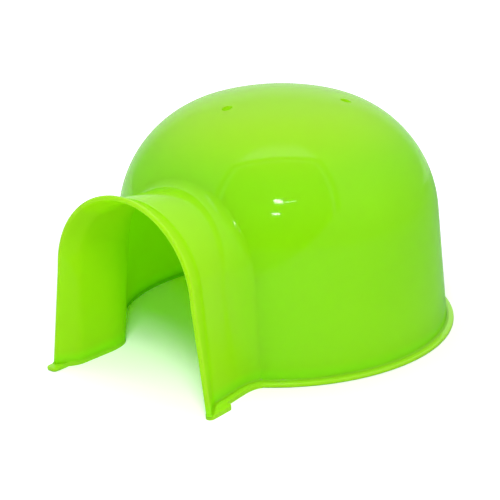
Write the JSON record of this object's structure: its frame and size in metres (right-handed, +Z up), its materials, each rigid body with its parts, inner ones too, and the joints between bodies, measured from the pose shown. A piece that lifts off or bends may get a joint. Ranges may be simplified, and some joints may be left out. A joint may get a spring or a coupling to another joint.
{
  "type": "hamster igloo",
  "caption": "Moulded plastic igloo shelter for a hamster: a domed chamber with air holes, a short arched entrance tunnel with a flared mouth and an out-turned foot rim, open underneath.",
  "frame": {"origin": "middle of the footprint, on the floor that the igloo stands on", "axes": "+Z up, -Y out of the entrance tunnel, +X to the right of someone who looks into the tunnel"},
  "size_m": [0.1352, 0.158, 0.091],
  "materials": {
    "shell": "glossy lime green moulded plastic, slightly translucent"
  },
  "bodies": {
    "root": {"dome": "shell", "entrance_tunnel": "shell", "base_rim": "shell", "left_foot_rail": "shell", "right_foot_rail": "shell"}
  },
  "joints": []
}
